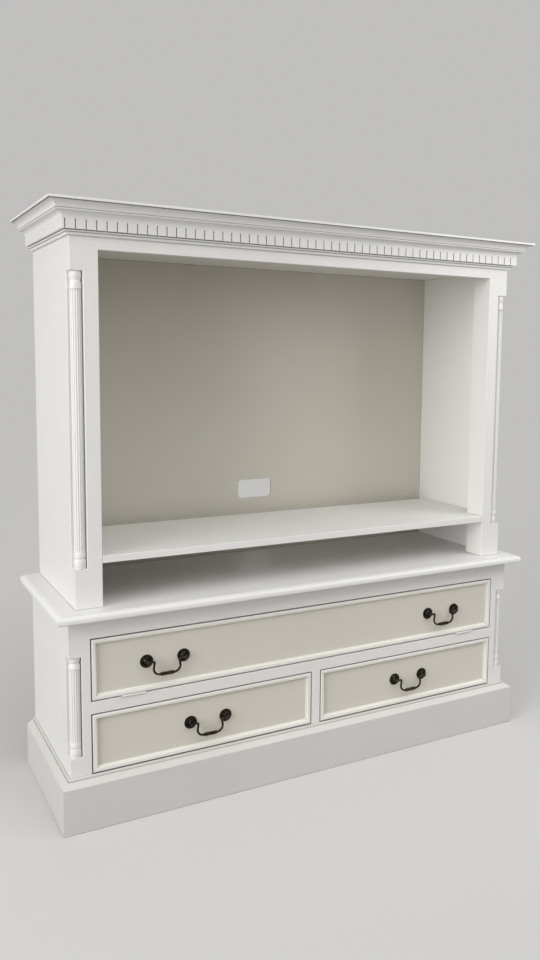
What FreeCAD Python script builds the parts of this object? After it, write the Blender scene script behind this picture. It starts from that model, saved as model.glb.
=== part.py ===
import FreeCAD, Part
import math
import os

from FreeCAD import Vector

# A painted unit in two stages: a base with a drop-down flap over two drawers, and a hutch
# with a screen niche, a shelf, an open bay and a dentil cornice.
# Millimetres. +Z is up, +X is right as seen from the front, and the front faces -Y.
# The origin is on the floor, under the middle of the whole outline.
# Depths are measured forward from the flat back of the unit; row_y() turns them into Y.

# Whole unit
overall_height = 1600.0
cornice_reach = 60.0

# Base
base_width = 1443.0
base_depth = 440.0
stile_width = 55.5
base_post_depth = 45.0
side_thickness = 18.0
board_thickness = 18.0
frame_thickness = 22.0
back_thickness = 6.0
plinth_reach = 24.5
plinth_top = 141.0
drawer_opening_low = 140.5
drawer_opening_high = 302.5
flap_opening_low = 335.5
flap_opening_high = 503.5
muntin_width = 28.0

# Counter
counter_width = 1510.0
counter_depth = 482.0
counter_low = 558.5
counter_high = 580.0

# Hutch
hutch_width = 1398.0
hutch_depth = 428.0
hutch_opening_width = 1256.0
hutch_opening_high = 1486.5
hutch_post_depth = 79.0
hutch_side_thickness = 20.0
shelf_low = 695.0
shelf_thickness = 19.0
cover_thickness = 15.0

# Notches in the posts, and the turned columns that stand in them
notch = 33.0
base_notch_low = 191.5
base_notch_high = 458.5
hutch_notch_low = 684.0
hutch_notch_high = 1433.5
column_gap = 1.2
shaft_radius = 14.2
flute_count = 16
flute_radius = 2.3

# Cornice: heights of its three members
bed_low = 1516.5
dentil_low = 1530.5
crown_low = 1556.0
bed_reach = 13.0
dentil_reach = 20.0
dentil_pitch = 25.5
dentil_slot_width = 3.0
dentil_slot_depth = 4.0
dentil_slot_height = 23.0
dentil_left_end = 7.0
dentil_right_end = 26.0

# Fronts: flap and drawers
front_gap = 3.0
flap_top_gap = 3.5
front_thickness = 18.0
front_set_back = 8.0
bead_width = 14.5
bead_height = 9.0
flap_back_chamfer = 3.0

# Flap hinge: the pin's axis runs along X, just in front of the face frame
hinge_proud = 2.5
hinge_centre_x = 554.0
hinge_length = 65.0
knuckle_radius = 2.6
hinge_pin_radius = 1.2
leaf_thickness = 1.1
leaf_reach = 19.0
running_gap = 0.05

# Flap stays: pivot and peg lie on one circle about the hinge axis
stay_circle = 140.0
stay_pivot_back = 37.0
stay_peg_back = 70.0
stay_inset = 15.5
stay_thickness = 2.0
stay_half_width = 7.5
stay_peg_radius = 3.0
stay_slot_gap = 0.3

# Drawers
drawer_side_thickness = 15.0
drawer_side_gap = 1.5
drawer_side_low = drawer_opening_low + 6
drawer_side_high = drawer_opening_high - 17.5
drawer_back_depth = 30.0
drawer_back_thickness = 12.0
drawer_bottom_low = drawer_side_low + 6
drawer_bottom_thickness = 5.0
runner_low = drawer_side_low + 55
runner_height = 18.0
runner_reach = 8.5
runner_front = base_depth - 31.5
runner_gap = 0.5

# Handles
handle_half_span = 52.0
rosette_radius = 17.0
handle_pivot_out = 16.0
handle_ball_radius = 5.8
bail_radius = 2.5
bail_neck_inset = 13.0
bail_drop = 37.0
bail_lean = 10.0
bail_corner = 13.0
flap_handle_x = 463.5
flap_handle_z = 417.5
drawer_handle_z = 222.0

# Cable cut-outs in the back panels
cable_width = 120.0
cable_height = 60.0
cable_corner = 12.0
cable_heights_hutch = (640.0, 790.0)
cable_height_base = 420.0

overall_depth = hutch_depth + cornice_reach
half_base = base_width / 2
half_hutch = hutch_width / 2
half_base_opening = half_base - stile_width
half_hutch_opening = hutch_opening_width / 2
half_muntin = muntin_width / 2
base_inner_x = half_base - side_thickness
hutch_inner_x = half_hutch - hutch_side_thickness
base_post_back = base_depth - base_post_depth
hutch_post_back = hutch_depth - hutch_post_depth
frame_back = base_depth - frame_thickness
hutch_frame_back = hutch_depth - frame_thickness
cover_low = overall_height - cover_thickness
front_face_depth = base_depth - front_set_back
front_back_depth = front_face_depth - front_thickness
drawer_centre_x = (half_base_opening + half_muntin) / 2
hinge_depth = base_depth + hinge_proud
hinge_z = flap_opening_low + front_gap / 2
stay_x = half_base_opening - stay_inset


def row_y(depth):
    """Y of the plane that lies depth in front of the back."""
    return overall_depth / 2 - depth


def board(x0, x1, depth0, depth1, z0, z1):
    """A rectangular board between two corners."""
    corner = Vector(x0, row_y(depth1), z0)
    return Part.makeBox(x1 - x0, depth1 - depth0, z1 - z0, corner)


def plate(outline, z0, z1):
    """A level board cut to an outline of (x, depth) corners."""
    corners = [Vector(x, row_y(depth), z0) for x, depth in outline]
    face = Part.Face(Part.makePolygon(corners + corners[:1]))
    return face.extrude(Vector(0, 0, z1 - z0))


def section(start, moves, place):
    """A face whose rim leaves start, follows the moves and closes.

    A move holds one point for a straight side, or two for an arc through the first to the second.
    """
    edges = []
    here = start
    closing = [] if math.dist(moves[-1][-1], start) < 1e-6 else [(start,)]
    for move in moves + closing:
        end = move[-1]
        if len(move) == 1:
            edges.append(Part.LineSegment(place(*here), place(*end)).toShape())
        else:
            edges.append(Part.Arc(place(*here), place(*move[0]), place(*end)).toShape())
        here = end
    return Part.Face(Part.Wire(edges))


def turn(u, v, radius, from_angle, to_angle):
    """A move along the arc about (u, v), between angles counted from the first axis to the second."""
    points = []
    for angle in ((from_angle + to_angle) / 2, to_angle):
        radians = math.radians(angle)
        points.append((u + radius * math.cos(radians), v + radius * math.sin(radians)))
    return tuple(points)


def rod(x0, x1, depth, z, radius):
    """A round bar along X."""
    return Part.makeCylinder(radius, x1 - x0, Vector(x0, row_y(depth), z), Vector(1, 0, 0))


def mirrored(shape):
    """The same piece on the other side of the unit."""
    return shape.mirror(Vector(0, 0, 0), Vector(1, 0, 0))


def both_sides(shape):
    """The left piece and its mirror image, as one group of separate solids."""
    return Part.makeCompound([shape, mirrored(shape)])


def save(name, shape):
    """Write one node."""
    shape.exportStep("parts/" + name + ".step")


# Mouldings that wrap the front and both sides

def mitred_run(start, moves, width, depth, reach):
    """The left, front and right lengths of a moulding, mitred at the front corners."""
    half = width / 2
    margin = reach + 5
    low = min(move[-1][1] for move in moves) - 5
    high = max(move[-1][1] for move in moves) + 5
    front = section(start, moves, lambda p, z: Vector(-half - margin, row_y(depth + p), z))
    front = front.extrude(Vector(width + 2 * margin, 0, 0))
    front_zone = plate([(-half, depth), (half, depth), (half + margin, depth + margin),
                        (-half - margin, depth + margin)], low, high)
    side = section(start, moves, lambda p, z: Vector(-half - p, row_y(0), z))
    side = side.extrude(Vector(0, -depth - margin, 0))
    side_zone = plate([(-half, 0), (-half, depth), (-half - margin, depth + margin),
                       (-half - margin, 0)], low, high)
    left = side.common(side_zone).Solids[0]
    middle = front.common(front_zone).Solids[0]
    return left, middle, mirrored(left)


def plinth_lengths():
    """Skirting boards with an ogee top."""
    reach = plinth_reach
    shoulder = plinth_top - 20
    moves = [
        ((reach, 0),),
        ((reach, shoulder),),
        turn(reach - 3.5, shoulder, 3.5, 0, 65),
        ((17, shoulder + 7.2), (11.5, shoulder + 12)),
        ((6.2, shoulder + 14.6), (2.5, plinth_top)),
        ((0, plinth_top),),
    ]
    return mitred_run((0, 0), moves, base_width, base_depth, reach)


def crown_lengths():
    """Two coves with a small bead between them under a square top edge."""
    reach = cornice_reach
    top = overall_height
    moves = [
        ((dentil_reach, crown_low),),
        ((22.5, crown_low + 9.5), (31, crown_low + 15.5)),
        ((34.5, crown_low + 15.5),),
        ((39.5, crown_low + 18), (37.5, crown_low + 20.5)),
        ((40.5, crown_low + 21.5),),
        ((45, crown_low + 32), (reach - 3, crown_low + 36.5)),
        ((reach - 3, crown_low + 38),),
        ((reach, crown_low + 38),),
        ((reach, top - 1.5),),
        turn(reach - 1.5, top - 1.5, 1.5, 0, 90),
        ((0, top),),
    ]
    return mitred_run((0, crown_low), moves, hutch_width, hutch_depth, reach)


def bed_lengths():
    """The small stepped moulding under the dentils."""
    reach = bed_reach
    moves = [
        ((reach - 8, bed_low),),
        ((reach - 8, bed_low + 4.5),),
        ((reach - 7, bed_low + 7.5), (reach - 3.5, bed_low + 9)),
        ((reach - 3.5, bed_low + 10.5),),
        ((reach, bed_low + 10.5),),
        ((reach, dentil_low),),
        ((0, dentil_low),),
    ]
    return mitred_run((0, bed_low), moves, hutch_width, hutch_depth, reach)


def dentil_slots(first, last, cut):
    """The slots between the dentils, at even steps from first to last."""
    count = round(abs(last - first) / dentil_pitch)
    return [cut(first + (last - first) * step / count) for step in range(count + 1)]


def dentil_lengths():
    """A square band with narrow upright slots that are open below."""
    reach = dentil_reach
    moves = [((reach, dentil_low),), ((reach, crown_low),), ((0, crown_low),)]
    left, middle, right = mitred_run((0, dentil_low), moves, hutch_width, hutch_depth, reach)
    half = dentil_slot_width / 2
    face_x = half_hutch + reach
    face_depth = hutch_depth + reach
    slot_high = dentil_low + dentil_slot_height

    def front_slot(x):
        return board(x - half, x + half, face_depth - dentil_slot_depth, face_depth + 1,
                     dentil_low - 1, slot_high)

    def side_slot(depth):
        return board(-face_x - 1, -face_x + dentil_slot_depth, depth - half, depth + half,
                     dentil_low - 1, slot_high)

    front_tool = Part.makeCompound(dentil_slots(-face_x + dentil_left_end,
                                                face_x - dentil_right_end, front_slot))
    side_tool = Part.makeCompound(dentil_slots(face_depth - dentil_right_end, dentil_pitch / 2,
                                               side_slot))
    left = left.cut(side_tool).Solids[0]
    return left, middle.cut(front_tool).Solids[0], mirrored(left)


# Turned columns

def column_ring(z, height, radius):
    """Moves up one rounded ring whose edges are as wide as the shaft."""
    return [((radius, z + height / 2), (shaft_radius, z + height))]


def turned_column(x, depth, z0, z1, foot_bulb, foot_ring, cap_cup, cap_drum):
    """A fluted round column: a bulb and a ring at the foot, a cup and a drum at the head."""
    widest = notch / 2 - column_gap
    groove = 2.6
    neck = shaft_radius - 1.4
    centre = Vector(x, row_y(depth), 0)

    def place(radius, z):
        return Vector(x + radius, row_y(depth), z)

    flute_low = z0 + 2 + foot_bulb + groove + foot_ring
    cup_low = z1 - 2 - cap_drum - groove - cap_cup
    moves = [((widest, z0),), ((widest, z0 + 2),)]
    z = z0 + 2
    moves += [((shaft_radius, z),)] + column_ring(z, foot_bulb, widest)
    z += foot_bulb
    moves += [((neck, z),), ((neck, z + groove),), ((shaft_radius, z + groove),)]
    moves += column_ring(z + groove, foot_ring, widest - 0.4)
    z = cup_low + cap_cup
    moves += [((shaft_radius, cup_low),), ((widest, cup_low),)]
    moves += [((widest - 0.7, cup_low + 0.55 * cap_cup), (neck, z)), ((neck, z + groove),)]
    moves += [((widest - 0.6, z + groove + 0.45 * cap_drum), (widest - 0.2, z1 - 2))]
    moves += [((widest, z1 - 2),), ((widest, z1),), ((0, z1),)]
    column = section((0, z0), moves, place).revolve(centre, Vector(0, 0, 1), 360)

    inset = shaft_radius + 0.7
    low = flute_low + 1.5
    high = cup_low - 0.6
    flute = section((inset, low), [
        turn(inset, low + flute_radius, flute_radius, -90, 0),
        ((inset + flute_radius, high - flute_radius),),
        turn(inset, high - flute_radius, flute_radius, 0, 90),
    ], place).revolve(place(inset, 0), Vector(0, 0, 1), 360)
    cutters = []
    for step in range(flute_count):
        cutter = flute.copy()
        cutter.rotate(centre, Vector(0, 0, 1), 360 * (step + 0.5) / flute_count)
        cutters.append(cutter)
    return column.cut(Part.makeCompound(cutters)).Solids[0]


def base_columns():
    """The short columns of the base."""
    return both_sides(turned_column(-half_base + notch / 2, base_depth - notch / 2,
                                    base_notch_low, base_notch_high, 21.5, 14, 14.5, 12))


def hutch_columns():
    """The tall columns of the hutch."""
    return both_sides(turned_column(-half_hutch + notch / 2, hutch_depth - notch / 2,
                                    hutch_notch_low, hutch_notch_high, 24, 14.5, 20.5, 19.5))


# Base carcass

def base_posts():
    """Corner posts, notched for the columns."""
    post = board(-half_base, -half_base_opening, base_post_back, base_depth, 0, counter_low)
    pocket = board(-half_base - 1, -half_base + notch, base_depth - notch, base_depth + 1,
                   base_notch_low, base_notch_high)
    return both_sides(post.cut(pocket))


def level_board(inner_x, opening_x, post_back, depth0, depth1, z0, z1):
    """A board between the side panels whose front corners step round the posts."""
    outline = [(-inner_x, depth0), (inner_x, depth0), (inner_x, post_back), (opening_x, post_back),
               (opening_x, depth1), (-opening_x, depth1), (-opening_x, post_back),
               (-inner_x, post_back)]
    return plate(outline, z0, z1)


def back_panel(inner_x, z0, z1, cut_out_heights):
    """A thin panel with rounded cable cut-outs on its centre line."""
    panel = board(-inner_x, inner_x, 0, back_thickness, z0, z1)
    for height in cut_out_heights:
        hole = board(-cable_width / 2, cable_width / 2, -1, back_thickness + 1,
                     height - cable_height / 2, height + cable_height / 2)
        corners = [edge for edge in hole.Edges if abs(edge.tangentAt(edge.FirstParameter).y) > 0.9]
        panel = panel.cut(hole.makeFillet(cable_corner, corners))
    return panel


def plinth_bearers():
    """The back rail of the plinth and two bearers that carry the middle of the bottom board."""
    high = drawer_opening_low - board_thickness
    pieces = [board(-base_inner_x, base_inner_x, 0, board_thickness, 0, high)]
    for centre in (-base_inner_x / 3, base_inner_x / 3):
        pieces.append(board(centre - board_thickness / 2, centre + board_thickness / 2,
                            board_thickness, base_depth, 0, high))
    return Part.makeCompound(pieces)


def counter_edge(limit):
    """Moves along the underside, up the moulded edge at limit and back over the top."""
    low = counter_low
    return [
        ((limit - 4, low),),
        turn(limit - 4, low + 4, 4, -90, 0),
        ((limit, low + 8.9),),
        turn(limit - 11, low + 8.9, 11, 0, 90),
        ((limit - 12.4, low + 19.9),),
        ((limit - 12.4, counter_high),),
        ((0, counter_high),),
    ]


def counter_top():
    """The counter, moulded on its front and both sides."""
    half = counter_width / 2
    front = section((0, counter_low), counter_edge(counter_depth),
                    lambda depth, z: Vector(-half - 5, row_y(depth), z))
    front = front.extrude(Vector(counter_width + 10, 0, 0))
    end = section((0, counter_low), counter_edge(half), lambda x, z: Vector(x, row_y(-5), z))
    end = end.extrude(Vector(0, -counter_depth - 10, 0))
    ends = end.fuse(mirrored(end)).removeSplitter()
    return front.common(ends).removeSplitter().Solids[0]


def runner_packers():
    """Packers that bring the runners out to the edges of the drawer openings."""
    low = runner_low - 20
    high = runner_low + runner_height + 20
    outer = board(-base_inner_x, -half_base_opening, drawer_back_depth, base_post_back, low, high)
    inner = board(-half_muntin, -board_thickness / 2, drawer_back_depth, runner_front, low, high)
    return Part.makeCompound([outer, inner, mirrored(inner), mirrored(outer)])


def drawer_runners():
    """Four hardwood strips that the grooved drawer sides hang on."""
    high = runner_low + runner_height
    outer = board(-half_base_opening, -half_base_opening + runner_reach, drawer_back_depth,
                  runner_front, runner_low, high)
    inner = board(-half_muntin - runner_reach, -half_muntin, drawer_back_depth, runner_front,
                  runner_low, high)
    return Part.makeCompound([outer, inner, mirrored(inner), mirrored(outer)])


# Hutch carcass

def hutch_posts():
    """Deep posts at the front of the hutch, notched for the columns."""
    post = board(-half_hutch, -half_hutch_opening, hutch_post_back, hutch_depth, counter_high, cover_low)
    pocket = board(-half_hutch - 1, -half_hutch + notch, hutch_depth - notch, hutch_depth + 1,
                   hutch_notch_low, hutch_notch_high)
    return both_sides(post.cut(pocket))


def tv_shelf():
    """The screen shelf; it stops short of the back so that leads can pass behind it."""
    shelf = level_board(hutch_inner_x, half_hutch_opening, hutch_post_back, 46, hutch_depth,
                        shelf_low, shelf_low + shelf_thickness)
    nose = [edge for edge in shelf.Edges
            if abs(edge.CenterOfMass.y - row_y(hutch_depth)) < 0.01 and edge.Length > 1000]
    return shelf.makeFillet(1.5, nose)


# Fronts

def bead_frame(x0, x1, z0, z1):
    """Four mitred lengths of raised moulding round a front: a bead, a quirk and an inner slope."""
    width = bead_width
    high = bead_height
    moves = [
        ((0, high - 3),),
        turn(3, high - 3, 3, 180, 0),
        ((7.2, high - 3),),
        ((11.6, high - 4.2), (width - 0.6, 1.6)),
        ((width, 0),),
    ]
    reach = front_face_depth

    def zone(corners):
        points = [Vector(x, row_y(reach - 1), z) for x, z in corners]
        face = Part.Face(Part.makePolygon(points + points[:1]))
        return face.extrude(Vector(0, -high - 2, 0))

    def length_along_x(outer_z, inward):
        face = section((0, 0), moves, lambda u, v: Vector(x0, row_y(reach + v), outer_z + inward * u))
        inner_z = outer_z + inward * width
        return face.extrude(Vector(x1 - x0, 0, 0)).common(zone(
            [(x0, outer_z), (x1, outer_z), (x1 - width, inner_z), (x0 + width, inner_z)])).Solids[0]

    def length_along_z(outer_x, inward):
        face = section((0, 0), moves, lambda u, v: Vector(outer_x + inward * u, row_y(reach + v), z0))
        inner_x = outer_x + inward * width
        return face.extrude(Vector(0, 0, z1 - z0)).common(zone(
            [(outer_x, z0), (outer_x, z1), (inner_x, z1 - width), (inner_x, z0 + width)])).Solids[0]

    return [length_along_x(z0, 1), length_along_x(z1, -1), length_along_z(x0, 1), length_along_z(x1, -1)]


def knuckle_clearance():
    """Hollows round the hinge knuckles."""
    half = hinge_length / 2 + 1
    return [rod(side * hinge_centre_x - half, side * hinge_centre_x + half, hinge_depth, hinge_z,
                knuckle_radius + 0.5) for side in (-1, 1)]


def flap_edges():
    """Left, right, lower and upper limits of the flap."""
    half = half_base_opening - front_gap
    return -half, half, flap_opening_low + front_gap, flap_opening_high - flap_top_gap


def flap_panel():
    """The flap's board; its top back edge is bevelled so that it swings out under the rail."""
    x0, x1, z0, z1 = flap_edges()
    panel = board(x0, x1, front_back_depth, front_face_depth, z0, z1)
    top_back = [edge for edge in panel.Edges
                if abs(edge.CenterOfMass.z - z1) < 0.01
                and abs(edge.CenterOfMass.y - row_y(front_back_depth)) < 0.01]
    return panel.makeChamfer(flap_back_chamfer, top_back)


def flap_moulding():
    """The flap's raised frame, hollowed for the hinge knuckles."""
    lengths = bead_frame(*flap_edges())
    for tool in knuckle_clearance():
        lengths[0] = lengths[0].cut(tool)
    return Part.makeCompound(lengths)


def drawer_limits():
    """Left and right limits, lower and upper limits of the left drawer's front."""
    return (-half_base_opening + front_gap, -half_muntin - front_gap,
            drawer_opening_low + front_gap, drawer_opening_high - front_gap)


def drawer_front():
    """The left drawer's front board."""
    x0, x1, z0, z1 = drawer_limits()
    return board(x0, x1, front_back_depth, front_face_depth, z0, z1)


def drawer_sides():
    """The left drawer's two sides, grooved on the outside for the runners."""
    outer = -half_base_opening + drawer_side_gap
    inner = -half_muntin - drawer_side_gap
    groove_low = runner_low - runner_gap
    groove_high = runner_low + runner_height + runner_gap
    groove_in = runner_reach - drawer_side_gap + runner_gap
    groove_front = runner_front + 1
    left = board(outer, outer + drawer_side_thickness, drawer_back_depth, front_back_depth,
                 drawer_side_low, drawer_side_high)
    left = left.cut(board(outer - 1, outer + groove_in, drawer_back_depth - 1, groove_front,
                          groove_low, groove_high))
    right = board(inner - drawer_side_thickness, inner, drawer_back_depth, front_back_depth,
                  drawer_side_low, drawer_side_high)
    right = right.cut(board(inner - groove_in, inner + 1, drawer_back_depth - 1, groove_front,
                            groove_low, groove_high))
    return Part.makeCompound([left, right])


def drawer_inside():
    """Left and right limits of the space between the left drawer's sides."""
    return (-half_base_opening + drawer_side_gap + drawer_side_thickness,
            -half_muntin - drawer_side_gap - drawer_side_thickness)


def drawer_back():
    """The left drawer's back board."""
    x0, x1 = drawer_inside()
    return board(x0, x1, drawer_back_depth, drawer_back_depth + drawer_back_thickness,
                 drawer_side_low, drawer_side_high - 6)


def drawer_bottom():
    """The left drawer's bottom panel."""
    x0, x1 = drawer_inside()
    return board(x0, x1, drawer_back_depth + drawer_back_thickness, front_back_depth,
                 drawer_bottom_low, drawer_bottom_low + drawer_bottom_thickness)


# Flap hardware

def hinge_knuckles(spans):
    """Rolled knuckles over the given spans from the hinge's middle."""
    return [rod(-hinge_centre_x + a, -hinge_centre_x + b, hinge_depth, hinge_z, knuckle_radius)
            for a, b in spans]


def hinge_leaf(leaf_low, spans):
    """One leaf of the left hinge with its knuckles and the hole for the pin."""
    half = hinge_length / 2
    rim = hinge_depth - knuckle_radius - 0.4
    leaf = board(-hinge_centre_x - half, -hinge_centre_x + half, hinge_depth - leaf_reach, rim,
                 leaf_low, leaf_low + leaf_thickness)
    for a, b in spans:
        leaf = leaf.fuse(board(-hinge_centre_x + a, -hinge_centre_x + b, rim - 1, hinge_depth,
                               leaf_low, leaf_low + leaf_thickness))
    for knuckle in hinge_knuckles(spans):
        leaf = leaf.fuse(knuckle)
    bore = rod(-hinge_centre_x - half - 1, -hinge_centre_x + half + 1, hinge_depth, hinge_z,
               hinge_pin_radius + running_gap)
    return leaf.cut(bore).removeSplitter()


def case_leaves():
    """Leaves on the middle rail: the two outer knuckles of each hinge."""
    half = hinge_length / 2
    third = hinge_length / 6
    return both_sides(hinge_leaf(flap_opening_low, [(-half, -third - 0.15), (third + 0.15, half)]))


def flap_leaves():
    """Leaves on the flap's lower edge: the middle knuckle of each hinge."""
    third = hinge_length / 6
    low = flap_opening_low + front_gap - leaf_thickness
    return both_sides(hinge_leaf(low, [(-third + 0.15, third - 0.15)]))


def hinge_pins():
    """The pins that the flap turns on."""
    half = hinge_length / 2
    return both_sides(rod(-hinge_centre_x - half, -hinge_centre_x + half, hinge_depth, hinge_z,
                          hinge_pin_radius))


def circle_point(back):
    """Depth and height of the point of the stay circle that lies back behind the hinge axis."""
    return hinge_depth - back, hinge_z + math.sqrt(stay_circle ** 2 - back ** 2)


def stay_reach(turn):
    """Distance from the stay's pivot to its peg with the flap open by turn degrees."""
    pivot_angle = math.acos(stay_pivot_back / stay_circle)
    peg_angle = math.acos(stay_peg_back / stay_circle)
    between = pivot_angle - peg_angle + math.radians(turn)
    return 2 * stay_circle * math.sin(between / 2)


def rounded_bar(u0, u1, radius, thickness):
    """A flat bar along Y with half-round ends about u0 and u1, one face in the plane X = 0."""
    outline = section((u0, -radius), [
        ((u1, -radius),),
        turn(u1, 0, radius, -90, 90),
        ((u0, radius),),
        turn(u0, 0, radius, 90, 270),
    ], lambda u, v: Vector(0, u, v))
    return outline.extrude(Vector(thickness, 0, 0))


def flap_stay():
    """The left stay: a slotted arm that turns on the flap and slides over its peg."""
    closed = stay_reach(0)
    opened = stay_reach(90)
    arm = rounded_bar(0, opened + 3, stay_half_width, stay_thickness)
    slot = rounded_bar(closed - 1, opened + 0.5, stay_peg_radius + stay_slot_gap, stay_thickness)
    pivot_hole = Part.makeCylinder(stay_peg_radius + running_gap, stay_thickness, Vector(0, 0, 0),
                                   Vector(1, 0, 0))
    arm = arm.cut(slot).cut(pivot_hole)
    pivot_depth, pivot_z = circle_point(stay_pivot_back)
    peg_depth, peg_z = circle_point(stay_peg_back)
    slope = math.degrees(math.atan2(peg_z - pivot_z, pivot_depth - peg_depth))
    arm.rotate(Vector(0, 0, 0), Vector(1, 0, 0), slope)
    arm.translate(Vector(-stay_x - stay_thickness, row_y(pivot_depth), pivot_z))
    return arm


def stay_brackets():
    """Angle brackets on the flap's back, each with the stud that its stay turns on."""
    depth, z = circle_point(stay_pivot_back)
    inner = -stay_x + 2
    foot = board(inner, inner + 20, front_back_depth - 1.5, front_back_depth, z - 14, z + 14)
    ear = board(inner, inner + 2, depth - 8, front_back_depth - 1, z - 8, z + 8)
    stud = rod(-stay_x - stay_thickness - 1.5, inner + 1, depth, z, stay_peg_radius)
    head = rod(-stay_x - stay_thickness - 3, -stay_x - stay_thickness - 1, depth, z, 5)
    return both_sides(foot.fuse(ear).fuse(stud).fuse(head).removeSplitter())


def stay_blocks():
    """Blocks on the side panels that carry the pegs."""
    depth, z = circle_point(stay_peg_back)
    return both_sides(board(-base_inner_x, -half_base_opening + 3.5, depth - 24, base_post_back,
                            z - 23, z + 23))


def stay_pegs():
    """The fixed pegs, with heads that keep the stays on."""
    depth, z = circle_point(stay_peg_back)
    start = -half_base_opening + 3.5
    peg = rod(start, -stay_x + 2, depth, z, stay_peg_radius)
    head = rod(-stay_x + 1, -stay_x + 3, depth, z, 6)
    return both_sides(peg.fuse(head).removeSplitter())


def flap_catches():
    """Magnetic catches behind the top rail."""
    corners = [(frame_back, flap_opening_high), (frame_back, flap_opening_high + 26),
               (frame_back - 19, flap_opening_high + 26), (frame_back - 19, flap_opening_high - 22),
               (frame_back - 5.4, flap_opening_high - 22), (frame_back - 5.4, flap_opening_high)]
    points = [Vector(-320, row_y(depth), z) for depth, z in corners]
    face = Part.Face(Part.makePolygon(points + points[:1]))
    return both_sides(face.extrude(Vector(40, 0, 0)))


def catch_plates():
    """Steel plates on the flap's back that the catches hold."""
    return both_sides(board(-316, -284, front_back_depth - 1, front_back_depth,
                            flap_opening_high - 20, flap_opening_high - 8))


# Handles

def rosette(x, z, inward):
    """One ringed rosette with its post and the ball that a bail's end turns in."""
    out = handle_pivot_out
    radius = rosette_radius
    neck = 3.8
    ball = handle_ball_radius

    def place(r, height):
        return Vector(x + r, row_y(front_face_depth + height), z)

    join = out - math.sqrt(ball ** 2 - neck ** 2)
    moves = [
        ((radius, 0),),
        ((radius, 1.4),),
        ((radius - 0.9, 3.1), (radius - 3, 3.2)),
        ((radius - 4, 2.4),),
        ((radius - 5.6, 3.9), (radius - 7.4, 3.2)),
        ((radius - 8.4, 2.8),),
        ((radius - 11, 4.6), (neck, 7.2)),
        ((neck, join),),
        turn(0, out, ball, math.degrees(math.asin((join - out) / ball)), 90),
    ]
    piece = section((0, 0), moves, place).revolve(Vector(x, 0, z), Vector(0, 1, 0), 360)
    hole = rod(min(x - 1.5 * inward, x + 8 * inward), max(x - 1.5 * inward, x + 8 * inward),
               front_face_depth + out, z, bail_radius + running_gap)
    return piece.cut(hole).Solids[0]


def handle_posts(x, z):
    """The two rosettes of a handle."""
    return [rosette(x - handle_half_span, z, 1), rosette(x + handle_half_span, z, -1)]


def bail(x, z):
    """A swan-neck bail that hangs from its two ends: bent rod with a swelling grip."""
    bend = 4.0
    upper = 14.0
    lean = math.radians(bail_lean)
    neck_x = handle_half_span - bail_neck_inset - bend
    lean_x = neck_x + upper * (1 - math.cos(lean))
    lean_z = -bend - upper * math.sin(lean)
    corner_z = bail_corner - bail_drop + bail_corner * math.sin(lean)
    corner_x = lean_x + (lean_z - corner_z) * math.tan(lean)
    grip_x = corner_x - bail_corner * math.cos(lean)
    half = [
        ((neck_x + bend, 0),),
        turn(neck_x + bend, -bend, bend, 90, 180),
        turn(neck_x + upper, -bend, upper, 180, 180 + bail_lean),
        ((corner_x, corner_z),),
        turn(grip_x, bail_corner - bail_drop, bail_corner, bail_lean, -90),
        ((0, -bail_drop),),
    ]

    def place(u, v):
        return Vector(x + u, row_y(front_face_depth + handle_pivot_out), z + v)

    def half_path(side):
        edges = []
        here = (handle_half_span + 1, 0)
        for move in half:
            points = [place(side * u, v) for u, v in (here,) + move]
            line = Part.LineSegment(*points) if len(points) == 2 else Part.Arc(*points)
            edges.append(line.toShape())
            here = move[-1]
        return edges

    path = Part.Wire(Part.__sortEdges__(half_path(-1) + half_path(1)))
    ring = Part.Wire(Part.makeCircle(bail_radius, place(-handle_half_span - 1, 0), Vector(1, 0, 0)))
    wire = path.makePipeShell([ring], True, False)
    grip = section((-grip_x, 0), [
        ((-grip_x, bail_radius - 0.5),),
        ((-grip_x / 2, 4.1), (-3.4, 4.7)),
        ((0, 5.8), (3.4, 4.7)),
        ((grip_x / 2, 4.1), (grip_x, bail_radius - 0.5)),
        ((grip_x, 0),),
    ], lambda u, r: place(u, r - bail_drop)).revolve(place(0, -bail_drop), Vector(1, 0, 0), 360)
    return wire.fuse(grip).removeSplitter().Solids[0]


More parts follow.
